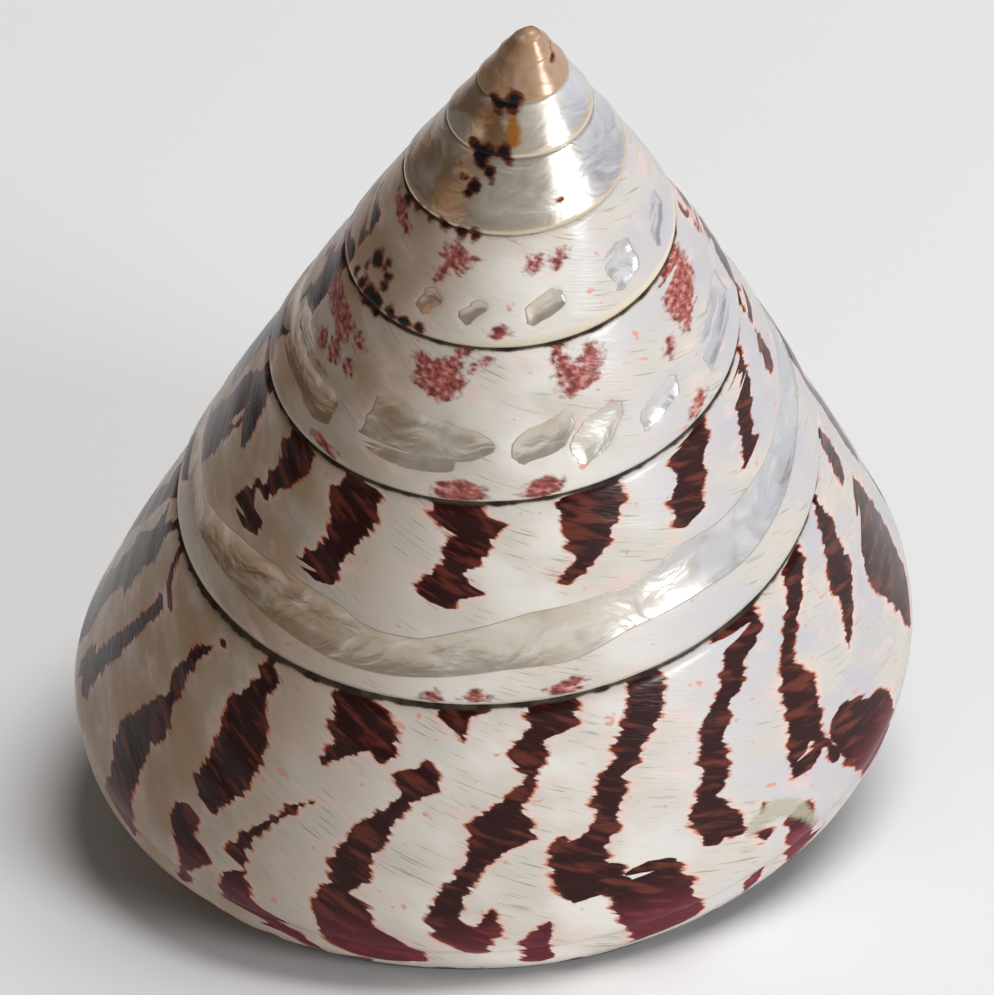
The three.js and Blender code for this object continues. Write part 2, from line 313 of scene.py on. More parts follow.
def addBase(bm):
    row = rowsFrom(coil["lipTurn"] - 1 + rimLag())
    arc = np.arange(sheet["underRimColumns"]) / sheet["underRimColumns"]
    arcOwn = row - rimLag() * np.ones_like(arc)
    w = whorl(arcOwn)
    angle = lerp(-coil["seamUnderRim"], coil["rimEnd"], arc)
    out = direction(np.broadcast_to(angle, arcOwn.shape))
    underRim = w["rim"] + out * w["round"][..., None]
    inward = np.sin(math.pi / 2 * np.arange(sheet["baseColumns"] + 1) / sheet["baseColumns"])
    baseOwn = row - lag(inward)
    flat = basePoint(baseOwn, inward)
    down = np.broadcast_to(np.array([0.0, -1.0]), flat.shape)
    belowSeam = w["round"] * (-coil["seamUnderRim"] - angle)
    wider = whorl(baseOwn)
    further = wider["round"] * (-coil["seamUnderRim"] - coil["rimEnd"]) + wider["bottom"][..., 0] * inward
    place = np.concatenate([underRim, flat], 1)
    out = np.concatenate([out, down], 1)
    own = np.concatenate([arcOwn, baseOwn], 1)
    fromLow = np.concatenate([belowSeam, further], 1)
    row = np.broadcast_to(row, own.shape)
    edge = np.concatenate([np.zeros_like(arcOwn), np.broadcast_to(inward, baseOwn.shape)], 1)
    onBase = smoothStep(edge, *sheet["baseEdge"])
    facts = shellFacts(place, own, wholeSide(own) + fromLow, -fromLow, onBase)
    calm = smoothStep(fromLow, 0, 1) * (1 - smoothStep(edge, *sheet["baseCalm"]))
    relief = growthRelief(facts["lines"], fromLow) * calm
    taper = lipTaper(row) * smoothStep(fromLow, 0, 1)
    place = place + out * (relief - taper)[..., None] + grooveAt(own, fromLow)
    placeGrid(bm, onCoil(place, own), facts)


def openLoops(bm):
    loops = []
    left = {e for e in bm.edges if e.is_boundary}
    while left:
        loop = {left.pop()}
        growing = set(loop)
        while growing:
            ends = {v for e in growing for v in e.verts}
            growing = {e for v in ends for e in v.link_edges if e in left}
            left -= growing
            loop |= growing
        loops.append(loop)
    return loops


def extrude(bm, edges):  # the new corners, edges and faces
    made = bmesh.ops.extrude_edge_only(bm, edges=edges)["geom"]
    kinds = bmesh.types.BMVert, bmesh.types.BMEdge, bmesh.types.BMFace
    return [[part for part in made if isinstance(part, kind)] for kind in kinds]


def closeTip(bm, loop):
    rings, edges, faces = sheet["tipRings"], list(loop), []
    middle = sum(v.co.xy.length for e in edges for v in e.verts) / (2 * len(edges))
    for ring in range(1, rings):
        corners, edges, made = extrude(bm, edges)
        faces += made
        share = 1 - ring / rings
        before = 1 - (ring - 1) / rings
        for corner in corners:
            radius = corner.co.xy.length
            above = corner.co.z + coneDepth(radius)
            even = lerp(radius, middle * before, sheet["tipEvens"]) * share / before
            corner.co.xy *= even / radius
            corner.co.z = above * share / before * sheet["tipFlattens"] - coneDepth(even)
    corners, _, made = extrude(bm, edges)
    for faceCorner in [c for face in faces + made for c in face.loops]:
        faceCorner[bm.loops.layers.float_vector["growth"]] = (coil["tipTurn"], 0.5, 1)
        faceCorner[bm.loops.layers.float_vector["edges"]] = (1, 1, 0)
    bmesh.ops.pointmerge(bm, verts=corners, merge_co=(0, 0, -coneDepth(0)))


def closeMouth(bm, loop):
    lagsAt, inward = sheet["mouthMiddle"]
    own = np.array(coil["lipTurn"] - lag(lagsAt))
    middle = (basePoint(own, np.array(inward)) + basePoint(own - 1, np.array(inward))) / 2
    corners = extrude(bm, list(loop))[0]
    bmesh.ops.pointmerge(bm, verts=corners, merge_co=Vector(onCoil(middle, own)))


def newPiece(bm, name):
    mesh = bpy.data.meshes.new(name)
    bm.to_mesh(mesh)
    bm.free()
    piece = bpy.data.objects.new(name, mesh)
    bpy.context.collection.objects.link(piece)
    return piece


def makeShellBody():
    bm = bmesh.new()
    for name in ("growth", "edges", "lines"):
        bm.loops.layers.float_vector.new(name)
    addSpire(bm)
    addBase(bm)
    bmesh.ops.remove_doubles(bm, verts=bm.verts, dist=sheet["mergeWithin"])
    for loop in openLoops(bm):
        high = max(v.co.z for e in loop for v in e.verts)
        if high > sheet["tipAbove"]:
            closeTip(bm, loop)
        else:
            closeMouth(bm, loop)
    bmesh.ops.dissolve_degenerate(bm, edges=bm.edges, dist=sheet["thinnest"])
    bmesh.ops.triangulate(bm, faces=[f for f in bm.faces if len(f.verts) > 4])
    bmesh.ops.recalc_face_normals(bm, faces=bm.faces)
    return newPiece(bm, "topShell")


# the mouth's hollow and the pillar in the axis

mouth = {
    "rows": 130, "sides": 56, "back": -0.2, "taper": 0.22, "closedEnd": 0.35, "pastLip": 0.07,
    "lipWall": 1.3, "bodyWall": 3, "wallGrowsOver": 0.12, "roofWall": 0.8, "pillarClear": 5.4,
    "cornerRound": 6, "cornerPoints": 12, "roofCorner": 0.25, "middle": 0.5,
}
pillar = {
    "sides": 44, "rows": 60, "topRadius": 0.9, "footRadius": 4.4, "foot": -92, "swell": 1.5,
    "lean": (1.2, 1.6), "leansLate": 4, "start": -2, "endHeight": 1.3, "endRows": 4,
    "endNarrows": 0.25,
}


def roundedOutline(corners, rounding, count):
    corners = np.array(corners)
    points = []
    for before, corner, after in zip(np.roll(corners, 1, 0), corners, np.roll(corners, -1, 0)):
        toBefore, toAfter = before - corner, after - corner
        enter = corner + toBefore * min(0.5, rounding / np.linalg.norm(toBefore))
        leave = corner + toAfter * min(0.5, rounding / np.linalg.norm(toAfter))
        for t in np.linspace(0, 1, mouth["cornerPoints"]):
            points.append(enter * (1 - t) ** 2 + corner * 2 * t * (1 - t) + leave * t * t)
    points = np.array(points + points[:1])
    length = np.concatenate([[0], np.cumsum(np.linalg.norm(np.diff(points, axis=0), axis=1))])
    at = np.linspace(0, length[-1], count + 1)
    return np.stack([np.interp(at, length, points[:, i]) for i in (0, 1)], -1)


def hollowOutline(turn, wall):
    m, turn = mouth, np.array(turn)
    w, above = whorl(turn), whorl(turn - 1)["bottom"]
    clear, middle = m["pillarClear"], above[0] * m["middle"]
    arc = [w["rim"] + (w["round"] - wall) * direction(
        lerp(w["outAngle"], coil["rimEnd"], t)) for t in (0, 0.5, 1)]
    side, out = sidePoint(turn, m["roofCorner"])
    base = basePoint(turn, np.array(m["middle"]))
    corners = [
        (clear, baseHeight(turn - 1, clear) - m["roofWall"]),
        (middle, baseHeight(turn - 1, middle) - m["roofWall"]),
        ((side - out * wall)[0], above[1] - m["roofWall"]),
        *arc,
        (base[0], base[1] + wall),
        (clear, baseHeight(turn, clear) + wall),
    ]
    return roundedOutline(corners, m["cornerRound"], m["sides"])


def closedPiece(bm, name):
    bmesh.ops.holes_fill(bm, edges=[e for e in bm.edges if e.is_boundary], sides=0)
    bmesh.ops.recalc_face_normals(bm, faces=bm.faces)
    return newPiece(bm, name)


def makeHollow():
    m = mouth
    places = []
    for turn in np.linspace(m["back"], coil["lipTurn"] + m["pastLip"], m["rows"]):
        grown = np.clip((coil["lipTurn"] - turn) / m["wallGrowsOver"], 0, 1)
        outline = hollowOutline(turn, lerp(m["lipWall"], m["bodyWall"], grown))
        taper = np.clip((turn - m["back"]) / m["taper"], 0, 1)
        size = lerp(m["closedEnd"], 1, math.sin(math.pi / 2 * taper))
        middle = outline.mean(0)
        places.append(onCoil(middle + (outline - middle) * size, np.array(turn)))
    bm = bmesh.new()
    placeGrid(bm, np.array(places), {})
    bmesh.ops.remove_doubles(bm, verts=bm.verts, dist=sheet["mergeWithin"])
    return closedPiece(bm, "hollow")


def makePillar():
    p = pillar
    bm = bmesh.new()
    ring = bmesh.ops.create_circle(bm, segments=p["sides"], radius=1)["verts"]
    edges = list({e for v in ring for e in v.link_edges})
    corners, size, middle = ring, 1, Vector((0, 0, 0))
    for i in range(p["rows"] + p["endRows"]):
        share = min(i / p["rows"], 1)
        radius = lerp(p["topRadius"], p["footRadius"], share ** p["swell"])
        height = lerp(p["start"], p["foot"], share)
        if i > p["rows"]:  # a rounded end
            angle = (i - p["rows"]) / p["endRows"] * math.pi / 2
            radius *= max(math.cos(angle), p["endNarrows"])
            height -= p["endHeight"] * math.sin(angle)
        lean = share ** p["leansLate"]
        place = Vector((p["lean"][0] * lean, p["lean"][1] * lean, height))
        if i:
            corners, edges, _ = extrude(bm, edges)
        for corner in corners:
            corner.co = place + (corner.co - middle) * (radius / size)
        size, middle = radius, place
    return closedPiece(bm, "pillar")


def combine(piece, other, operation):
    made = piece.modifiers.new(operation, "BOOLEAN")
    made.object, made.operation, made.solver = other, operation, "MANIFOLD"
    shaped = piece.evaluated_get(bpy.context.evaluated_depsgraph_get())
    shaped = bpy.data.meshes.new_from_object(shaped)
    piece.modifiers.clear()
    piece.data = shaped
    bpy.data.objects.remove(other)


def makeShell():
    body = makeShellBody()
    print("sheet coiled,", len(body.data.polygons), "faces")
    combine(body, makeHollow(), "DIFFERENCE")
    combine(body, makePillar(), "UNION")
    print("mouth opened,", len(body.data.polygons), "faces")
    body.data.transform(rest)
    body.data.transform(Matrix.Scale(mm, 4))
    for corner in body.data.vertices:  # worn flat where it stands
        corner.co.z = max(corner.co.z, 0)
    body.data.shade_smooth()
    body.data.set_sharp_from_angle(angle=math.radians(sheet["sharpFrom"]))
    return body


shell = makeShell()


# the marks. Each is a name with places in the photograph and half its width there, from the top
# down; they are thrown onto the shell and kept as curves of growth turn against share of the side

flames = {
    "farLeft": [(165, 514, 2), (156, 541, 8), (140, 562, 14), (117, 576, 12), (100, 599, 8),
        (90, 617, 4)],
    "farLeftSpur": [(176, 555, 2), (170, 580, 3), (169, 606, 2)],
    "left": [(159, 603, 5), (154, 610, 9), (136, 627, 10), (117, 644, 13), (98, 664, 13), (89, 679, 7)],
    "swan": [(222, 646, 4), (207, 646, 9), (182, 671, 9), (175, 690, 6), (146, 719, 24), (140, 739, 25),
        (133, 744, 20), (127, 768, 15), (120, 796, 10), (127, 816, 6), (136, 833, 3)],
    "broadLeft": [(270, 664, 6), (267, 681, 14), (247, 700, 19), (244, 725, 21), (240, 749, 27),
        (224, 777, 30), (220, 796, 22), (214, 806, 8)],
    "lowLeft": [(184, 819, 15), (184, 835, 10), (192, 850, 13), (196, 861, 15), (182, 873, 5)],
    "antler": [(314, 803, 2), (299, 804, 8), (286, 814, 6), (270, 821, 8), (251, 833, 12), (238, 850, 11),
        (238, 869, 8), (251, 873, 3)],
    "lowEdge": [(234, 882, 13), (238, 898, 13), (247, 907, 13), (268, 921, 10), (280, 923, 9),
        (299, 936, 7), (318, 948, 4)],
    "short": [(352, 699, 20), (360, 712, 28), (362, 728, 33), (366, 742, 33), (338, 755, 16),
        (322, 763, 4)],
    "shortLobe": [(383, 748, 16), (385, 757, 11), (380, 763, 3)],
    "middleLeft": [(426, 766, 6), (416, 775, 23), (421, 790, 20), (404, 801, 12), (379, 822, 18),
        (365, 841, 22), (349, 861, 21), (350, 880, 20), (334, 893, 17), (341, 908, 28), (343, 924, 29),
        (361, 937, 35), (384, 951, 36)],
    "seamTooth": [(463, 710, 27), (456, 716, 18), (456, 723, 12), (459, 731, 8), (464, 739, 3)],
    "middle": [(551, 708, 27), (552, 725, 24), (532, 740, 15), (528, 755, 19), (528, 769, 11),
        (531, 778, 5), (525, 790, 8), (509, 805, 14), (502, 822, 31), (503, 836, 33), (488, 851, 21),
        (478, 863, 14), (468, 874, 12), (456, 890, 15), (446, 909, 17), (446, 924, 20), (463, 937, 28),
        (478, 951, 14)],
    "middleLobe": [(492, 911, 3), (489, 921, 9), (485, 935, 13)],
    "middleRight": [(646, 689, 19), (645, 708, 18), (640, 723, 18), (630, 742, 16), (626, 761, 13),
        (613, 775, 13), (611, 790, 16), (607, 805, 16), (608, 817, 10), (605, 826, 13), (595, 838, 16),
        (578, 851, 29), (581, 866, 31), (583, 882, 30), (583, 893, 24), (574, 902, 5)],
    "tooth": [(564, 836, 3), (558, 848, 5)],
    "plumJoin": [(612, 870, 13), (616, 878, 18), (618, 887, 16)],
    "plumRight": [(668, 870, 12), (655, 878, 37), (653, 886, 42), (654, 894, 43), (657, 903, 46),
        (657, 912, 42), (653, 921, 33), (645, 931, 18), (638, 938, 5)],
    "plumSmall": [(550, 922, 3), (543, 933, 10), (535, 945, 15), (540, 955, 16)],
    "right": [(756, 624, 6), (746, 633, 14), (735, 643, 22), (734, 654, 13), (734, 670, 11),
        (732, 685, 11), (723, 700, 9), (717, 717, 12), (713, 733, 13), (713, 746, 13), (714, 767, 15),
        (715, 779, 13), (709, 792, 12), (713, 805, 20), (716, 820, 28), (715, 833, 15)],
    "rightFoot": [(728, 834, 20), (748, 838, 18), (765, 832, 8)],
    "farRight": [(797, 535, 2), (794, 547, 5), (790, 562, 14), (792, 574, 11), (795, 593, 8),
        (792, 612, 7), (790, 631, 7), (787, 647, 6), (787, 660, 6), (797, 679, 17), (800, 698, 18),
        (804, 717, 18), (808, 735, 20), (796, 753, 8), (793, 765, 2)],
    "bridge": [(815, 736, 10), (825, 744, 14), (834, 750, 8)],
    "bridgeRoot": [(803, 730, 14), (808, 738, 16), (808, 746, 16), (800, 754, 12), (793, 762, 5)],
    "needle": [(816, 472, 2), (815, 488, 7), (814, 505, 9), (825, 520, 8), (830, 540, 8), (837, 555, 11),
        (840, 574, 12), (842, 589, 10), (847, 604, 6), (848, 624, 4), (848, 643, 2)],
    "seamNeedle": [(815, 416, 3), (822, 440, 6), (830, 450, 6), (836, 463, 5), (840, 476, 3)],
    "scarDash": [(764, 805, 2), (753, 815, 5)],
    "scarFoot": [(762, 869, 2), (753, 879, 4), (746, 888, 3)],
    "scarPlum": [(806, 822, 20), (800, 834, 12), (797, 845, 8), (790, 860, 3)],
    "upperLimb": [(262, 336, 6), (258, 345, 8), (252, 353, 6)],
    "upperSeam": [(268, 370, 2), (274, 384, 7), (277, 401, 5)],
    "upperLeft": [(260, 394, 8), (256, 405, 9), (252, 416, 8), (248, 430, 6), (245, 441, 4)],
    "upperLeftFoot": [(240, 422, 3), (229, 426, 11), (221, 434, 7), (218, 443, 3)],
    "upperKnot": [(300, 434, 9), (295, 442, 14), (298, 454, 17), (297, 461, 16), (290, 469, 18),
        (284, 478, 17), (273, 488, 14), (268, 493, 6)],
    "upperKnotFoot": [(256, 487, 5), (248, 489, 9), (245, 499, 10), (245, 507, 9), (250, 516, 8),
        (258, 523, 7), (258, 529, 2)],
    "upperBroad": [(350, 480, 12), (355, 489, 22), (357, 499, 25), (354, 509, 24), (352, 528, 22),
        (346, 537, 21), (342, 545, 21), (333, 550, 24), (323, 558, 25), (322, 566, 20), (330, 574, 9)],
    "upperMiddle": [(457, 505, 25), (458, 516, 25), (473, 526, 33), (474, 536, 21), (468, 545, 24),
        (464, 555, 22), (460, 564, 17), (447, 574, 19), (445, 583, 27), (450, 593, 34), (442, 601, 17),
        (446, 606, 9)],
    "upperFlag": [(606, 488, 17), (593, 497, 31), (588, 507, 35), (590, 516, 30), (590, 526, 25),
        (590, 536, 23), (588, 545, 20), (587, 555, 14), (583, 564, 10), (573, 574, 10), (567, 580, 6)],
    "upperRight": [(700, 430, 7), (698, 441, 11), (692, 448, 15), (688, 456, 17), (688, 464, 17),
        (689, 473, 17), (689, 484, 14), (685, 494, 16), (687, 503, 18), (688, 510, 15), (683, 520, 9)],
    "upperStrap": [(748, 372, 2), (746, 380, 5), (745, 390, 6), (744, 403, 8), (743, 412, 7),
        (745, 421, 8), (746, 430, 7), (749, 438, 9), (748, 447, 7), (747, 456, 4), (744, 468, 2)],
    "upperEdge": [(739, 350, 2), (735, 357, 5), (734, 366, 6), (732, 375, 6), (728, 384, 4),
        (725, 392, 3)],
    "upperTick": [(739, 285, 3), (741, 297, 4), (744, 306, 3), (746, 312, 2)],
    "upperNeedle": [(759, 337, 2), (763, 346, 4), (766, 353, 4), (768, 363, 3), (770, 369, 1)],
}
# at the right limb the side turns away, so these give their two edges, each from the top down
limbFlames = {
    "softPlum": {"left": [(858, 500), (858, 520), (861, 540), (863, 560), (868, 578), (878, 592),
                          (890, 604), (900, 614)],
                 "right": [(868, 496), (878, 510), (888, 530), (896, 548), (903, 566), (907, 582),
                           (909, 598), (910, 612)]},
    "limbRight": {"left": [(832, 722), (830, 738), (836, 752), (845, 762), (855, 768), (862, 771)],
                  "right": [(850, 700), (857, 697), (868, 697), (880, 689), (888, 690), (893, 700),
                            (893, 712), (888, 728)]},
}
blotches = {
    "left": [(338, 276, 3), (336, 292, 8), (338, 303, 9), (344, 310, 11), (344, 320, 9), (343, 331, 7)],
    "leftDots": [(323, 333, 4), (323, 341, 4)],
    "leftDot": [(359, 337, 3), (359, 345, 4)],
    "leftLowDot": [(334, 346, 5), (334, 355, 5)],
    "leftFleck": [(348, 365, 4), (348, 372, 3)],
    "star": [(438, 366, 14), (438, 372, 20), (439, 378, 24), (441, 384, 25), (443, 389, 19),
        (441, 394, 12)],
    "starArm": [(421, 356, 5), (424, 361, 7), (426, 367, 9)],
    "starHorn": [(466, 350, 6), (456, 357, 6), (452, 365, 7)],
    "starSpark": [(487, 360, 3), (480, 365, 4), (473, 370, 2)],
    "right": [(557, 348, 5), (559, 356, 5), (566, 364, 10), (578, 370, 20), (580, 377, 21),
        (580, 383, 18), (574, 388, 11), (571, 394, 4)],
    "rightDark": [(590, 346, 5), (591, 355, 9), (590, 364, 11)],
    "farRight": [(682, 260, 4), (684, 268, 8), (678, 277, 15), (677, 286, 17), (680, 297, 17),
        (679, 306, 12), (681, 315, 9), (687, 325, 3)],
    "upperLeft": [(400, 199, 3), (402, 212, 5), (405, 224, 5), (406, 230, 2)],
    "upperHeart": [(455, 247, 5), (456, 253, 12), (460, 259, 16), (452, 264, 8), (444, 269, 5),
        (437, 276, 4)],
    "upperHeartFoot": [(461, 264, 6), (459, 272, 3)],
    "upperFleck": [(536, 257, 4), (535, 264, 6), (532, 270, 5)],
    "upperDash": [(561, 252, 4), (558, 259, 5), (556, 266, 3)],
    "rightFleck": [(669, 342, 3), (670, 352, 3)],
    "dashLeft": [(459, 487, 22), (458, 493, 25)],
    "dashRight": [(545, 484, 16), (541, 491, 17)],
    "dashSeam": [(318, 438, 5), (326, 446, 6), (331, 453, 4)],
    "dashUpper": [(500, 329, 6), (499, 334, 10)],
    "dashFarRight": [(701, 396, 4), (695, 411, 4)],
    "dashLowLeft": [(433, 694, 6), (432, 698, 8)],
    "dashLow": [(477, 694, 9), (476, 698, 12)],
    "dashLowRight": [(574, 682, 10), (567, 686, 15), (558, 688, 8)],
}
pearlWindows = {
    "blister": [(294, 314, 3), (296, 321, 8), (297, 328, 11), (298, 338, 14), (303, 354, 15),
        (309, 367, 14), (313, 378, 15), (316, 390, 17), (319, 399, 17), (323, 406, 12)],
    "long": [(390, 409, 18), (397, 416, 31), (404, 422, 39), (412, 428, 50), (421, 434, 60),
        (426, 440, 64), (431, 446, 65), (438, 452, 56), (451, 458, 31), (444, 464, 11)],
    "second": [(563, 418, 9), (558, 424, 17), (550, 430, 23), (543, 438, 26), (539, 445, 27),
        (534, 452, 23), (527, 458, 15), (524, 462, 6)],
    "third": [(611, 412, 13), (604, 419, 17), (599, 427, 18), (594, 436, 20), (590, 445, 20),
        (587, 453, 16), (586, 459, 8)],
    "fourth": [(672, 384, 7), (669, 393, 11), (661, 402, 12), (654, 411, 12), (650, 419, 10),
        (648, 427, 4)],
    "fifth": [(724, 289, 3), (722, 297, 7), (720, 306, 10), (718, 315, 11), (715, 326, 11),
        (712, 337, 10), (709, 347, 8), (710, 358, 7), (712, 367, 2)],
    "upperFirst": [(431, 293, 7), (430, 299, 12), (428, 304, 13), (424, 309, 6)],
    "upperSecond": [(479, 306, 9), (473, 311, 14), (468, 317, 10), (467, 322, 5)],
    "upperThird": [(552, 295, 10), (549, 302, 17), (543, 309, 18), (538, 317, 12), (534, 322, 7)],
    "upperFourth": [(626, 251, 8), (622, 259, 17), (622, 266, 17), (621, 274, 14), (622, 282, 7)],
    "upperFifth": [(660, 202, 3), (657, 210, 6), (656, 220, 7), (656, 231, 5), (658, 240, 3)],
}
# the ground band's two edges across the photograph
pearlBand = {
    "upper": [(206, 496), (238, 535), (286, 570), (333, 600), (377, 631), (420, 639), (464, 631),
        (529, 613), (594, 598), (637, 583), (680, 544), (719, 522), (754, 480), (771, 448), (780, 410),
        (780, 375)],
    "lower": [(190, 509), (212, 557), (247, 600), (290, 635), (334, 661), (377, 674), (429, 678),
        (507, 670), (572, 661), (637, 626), (702, 592), (745, 561), (776, 518), (791, 475), (799, 420),
        (797, 380)],
    "behind": (-0.45, -1.85), "fade": 0.12, "left": (0.62, 0.72), "right": (0.6, 0.78),
    "turns": (-1.6, -0.6), "side": 27,
}
# round spots, each with half its width
healedScar = [(752, 830, 3), (756, 825, 4), (760, 820, 5), (765, 815, 5), (770, 811, 6), (775, 809, 6),
    (780, 808, 6), (785, 807, 6), (790, 807, 6), (795, 808, 6), (800, 810, 6), (805, 813, 5),
    (810, 817, 4), (814, 821, 3)]
stain = {
    "strong": [(511, 111, 5), (513, 119, 6), (514, 127, 6), (514, 135, 6), (513, 142, 6), (506, 147, 5)],
    "weak": [(497, 114, 11), (492, 124, 13), (494, 136, 15), (505, 142, 13), (486, 146, 10)],
}
grime = {
    "thirdSeam": [(346, 249, 2), (350, 262, 3), (356, 273, 5), (362, 283, 8), (367, 293, 11),
        (375, 303, 10), (390, 314, 8), (404, 323, 7), (420, 331, 5)],
    "blisterRing": [(368, 262, 4), (378, 258, 9), (388, 263, 4)],
    "blisterSide": [(386, 268, 3), (388, 276, 4), (384, 288, 3)],
    "fourthSeam": [(399, 189, 3), (408, 200, 5), (419, 208, 5), (430, 217, 5), (447, 224, 6),
        (462, 231, 7), (476, 234, 5)],
    "secondSeam": [(494, 100, 3), (500, 103, 7), (512, 103, 9), (514, 108, 5)],
    "thirdSeamTop": [(478, 146, 9), (484, 150, 12), (482, 156, 10), (482, 162, 7)],
    "thirdSeamRight": [(497, 156, 5), (503, 154, 8), (507, 158, 4)],
    "trail": [(460, 165, 2), (463, 172, 3), (465, 178, 1)],
    "dot": [(562, 194, 2), (563, 197, 3), (563, 200, 2)],
    "crack": [(551, 43, 1), (551, 49, 1), (552, 55, 1)],
    "squiggle": [(489, 171, 6), (489, 174, 5)],
    "squiggleLow": [(474, 188, 6), (470, 192, 4)],
}
markEdges = {
    "shrink": (1, 0.8, 0.6, 0.4, 0.2, 0), "close": 1.5, "margin": 1, "meetsSeam": 0.07,
    "sameWhorl": 0.3, "shareStep": 0.004, "noMark": -5, "noSpot": -100,
}


shellMap = {
    "tree": BVHTree.FromPolygons([v.co for v in shell.data.vertices],
                                 [p.vertices for p in shell.data.polygons]),
    "axes": cameraAxes(), "focal": view["lens"] / view["sensor"] * view["height"],
}


def lookAt(x, y):  # where a line of sight through the photograph meets the shell
    right, up, forward = shellMap["axes"]
    across, above = x - view["width"] / 2, view["height"] / 2 - y
    sight = (forward + (right * across + up * above) / shellMap["focal"]).normalized()
    place, _, number, _ = shellMap["tree"].ray_cast(camera.matrix_world.translation, sight)
    return place, number


def factsAt(x, y):
    place, number = lookAt(x, y)
    if place is None:
        return None
    face = shell.data.polygons[number]
    corners = [shell.data.vertices[v].co for v in face.vertices]
    weights = interpolate.poly_3d_calc(corners, place)
    growth = shell.data.attributes["growth"].data
    facts = sum((growth[c].vector * w for c, w in zip(face.loop_indices, weights)), Vector())
    return facts if facts.z > 1 else None


def cleanEdge(edge):  # share down the whorl has to grow from point to point
    kept = []
    for share, own in sorted(edge):
        if not kept or share > kept[-1][0] + markEdges["shareStep"]:
            kept.append((share, own))
    return np.array(kept).T


def traceEdges(sides):
    found = [[f for f in (factsAt(x, y) for x, y in sides[side]) if f] for side in ("left", "right")]
    left, right = (cleanEdge([(f.y, f.x) for f in side]) for side in found)
    return left, right, found[0] + found[1]


def traceRows(places):
    m = markEdges
    middles = [factsAt(x, y) for x, y, _ in places]
    usual = np.median([f.x for f in middles if f])
    edges = {-1: [], 1: []}
    for (x, y, half), middle in zip(places, middles):
        if middle is None or abs(middle.x - usual) > m["sameWhorl"]:
            continue
        for side, edge in edges.items():
            for shrink in m["shrink"]:
                facts = factsAt(x + side * half * shrink, y)
                if facts and abs(facts.x - usual) < m["sameWhorl"]:
                    edge.append((facts.y, facts.x))
                    break
    left, right = (cleanEdge(edges[side]) for side in (-1, 1))
    return left, right, [f for f in middles if f]


def traceMark(places):
    m = markEdges
    left, right, found = traceEdges(places) if isinstance(places, dict) else traceRows(places)
    girth, side = np.median([f.z for f in found]), wholeSide(np.median([f.x for f in found]))
    shares = np.unique(np.concatenate([left[0], right[0]]))
    leftTurns, rightTurns = np.interp(shares, *left), np.interp(shares, *right)
    centres, halves = (leftTurns + rightTurns) / 2, np.abs(leftTurns - rightTurns) / 2
    closed = -m["close"] / girth
    before, after = shares[0] - m["margin"] / side, shares[-1] + m["margin"] / side
    starts = halves[0] if shares[0] < m["meetsSeam"] else closed
    shares = np.concatenate([[before], shares, [after]])
    centres = np.concatenate([centres[:1], centres, centres[-1:]])
    halves = np.concatenate([[starts], halves, [closed]])
    return shares, centres, halves


def traceBand():
    b, traced = pearlBand, []
    (last, first), (earliest, latest) = b["behind"], b["turns"]
    for name, left, right in zip(("upper", "lower"), b["left"], b["right"]):
        facts = [factsAt(x, y) for x, y in b[name]]
        spots = sorted((f.x, f.y) for f in facts if f and earliest < f.x < latest)
        traced.append(np.array([(first, right), *spots, (last, left)]).T)
    turns = np.unique(np.concatenate([edge[0] for edge in traced]))
    upper, lower = (np.interp(turns, *edge) for edge in traced)
    return turns, (upper + lower) / 2, (lower - upper) / 2


# node helpers. A Wire is a node's output that the script can reckon with

class Wire:
    def __init__(self, socket):
        self.socket, self.tree = socket, socket.id_data

    def __add__(self, other):
        return calc("ADD", self, other)

    def __sub__(self, other):
        return calc("SUBTRACT", self, other)

    def __rsub__(self, other):
        return calc("SUBTRACT", other, self)

    def __mul__(self, other):
        return calc("MULTIPLY", self, other)

    def __truediv__(self, other):
        return calc("DIVIDE", self, other)


mixColour = {"factor": 0, "first": 6, "second": 7, "result": 2}  # the colour sockets of a Mix node


def feed(socket, value):
    if isinstance(value, Wire):
        value.tree.links.new(value.socket, socket)
    elif isinstance(value, tuple) and len(value) == 3 and socket.type == "RGBA":
        socket.default_value = (*value, 1)
    else:
        socket.default_value = value


def addNode(tree, kind, output, inputs, **settings):  # inputs go by their names or numbers
    node = tree.nodes.new(kind)
    for name, value in settings.items():
        setattr(node, name, value)
    for socket, value in inputs.items():
        feed(node.inputs[socket], value)
    return Wire(node.outputs[output])


def addTo(values, kind, output=0, **settings):  # a node in the tree that the values come from
    tree = next(value.tree for value in values if isinstance(value, Wire))
    return addNode(tree, kind, output, dict(enumerate(values)), **settings)


def calc(operation, *values):
    return addTo(values, "ShaderNodeMath", operation=operation)


def scaled(value, factor, offset):
    return calc("MULTIPLY_ADD", value, factor, offset)


def vectorCalc(operation, *values):
    output = "Value" if operation in ("DOT_PRODUCT", "DISTANCE") else "Vector"
    return addTo(values, "ShaderNodeVectorMath", output, operation=operation)


def together(*values):
    return addTo(values, "ShaderNodeCombineXYZ")


def rise(value, low, high, fromLow=0, toHigh=1):  # a smooth step between two values
    values = value, low, high, fromLow, toHigh
    return addTo(values, "ShaderNodeMapRange", interpolation_type="SMOOTHSTEP")


def ramp(value, name):
    return rise(value, *ramps[name])


def blend(share, first, second):
    m = mixColour
    inputs = {m["factor"]: share, m["first"]: first, m["second"]: second}
    return addNode(share.tree, "ShaderNodeMix", m["result"], inputs, data_type="RGBA")


def tint(colour, share, name):
    return blend(share, colour, finish[name])


def objectPlace(tree):
    return addNode(tree, "ShaderNodeTexCoord", "Object", {})


